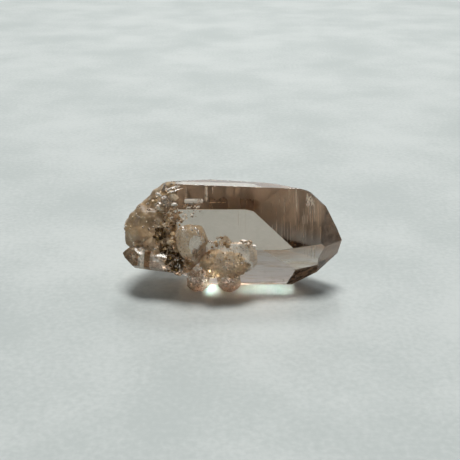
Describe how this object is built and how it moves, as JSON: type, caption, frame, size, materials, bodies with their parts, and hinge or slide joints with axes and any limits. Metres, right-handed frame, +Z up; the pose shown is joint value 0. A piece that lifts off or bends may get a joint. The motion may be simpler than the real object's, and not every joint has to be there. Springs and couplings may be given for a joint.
{
  "type": "smoky quartz crystal cluster",
  "caption": "Long clear smoky quartz crystal lying on its side, one end overgrown by small frosted crystals with dark iron clay between them; a mineral specimen for display.",
  "frame": {"origin": "middle of the footprint, on the surface that the cluster lies on", "axes": "+X along the long crystal towards its clear tip, -Y towards the side with the small crystals, +Z up"},
  "size_m": [0.0498, 0.0236, 0.0247],
  "materials": {
    "smoky_quartz": "clear polished growth faces, frosted and iron stained at one end",
    "iron_clay": "dull, earthy"
  },
  "bodies": {
    "root": {"quartz_cluster": "smoky_quartz", "iron_clay": "iron_clay"}
  },
  "joints": []
}
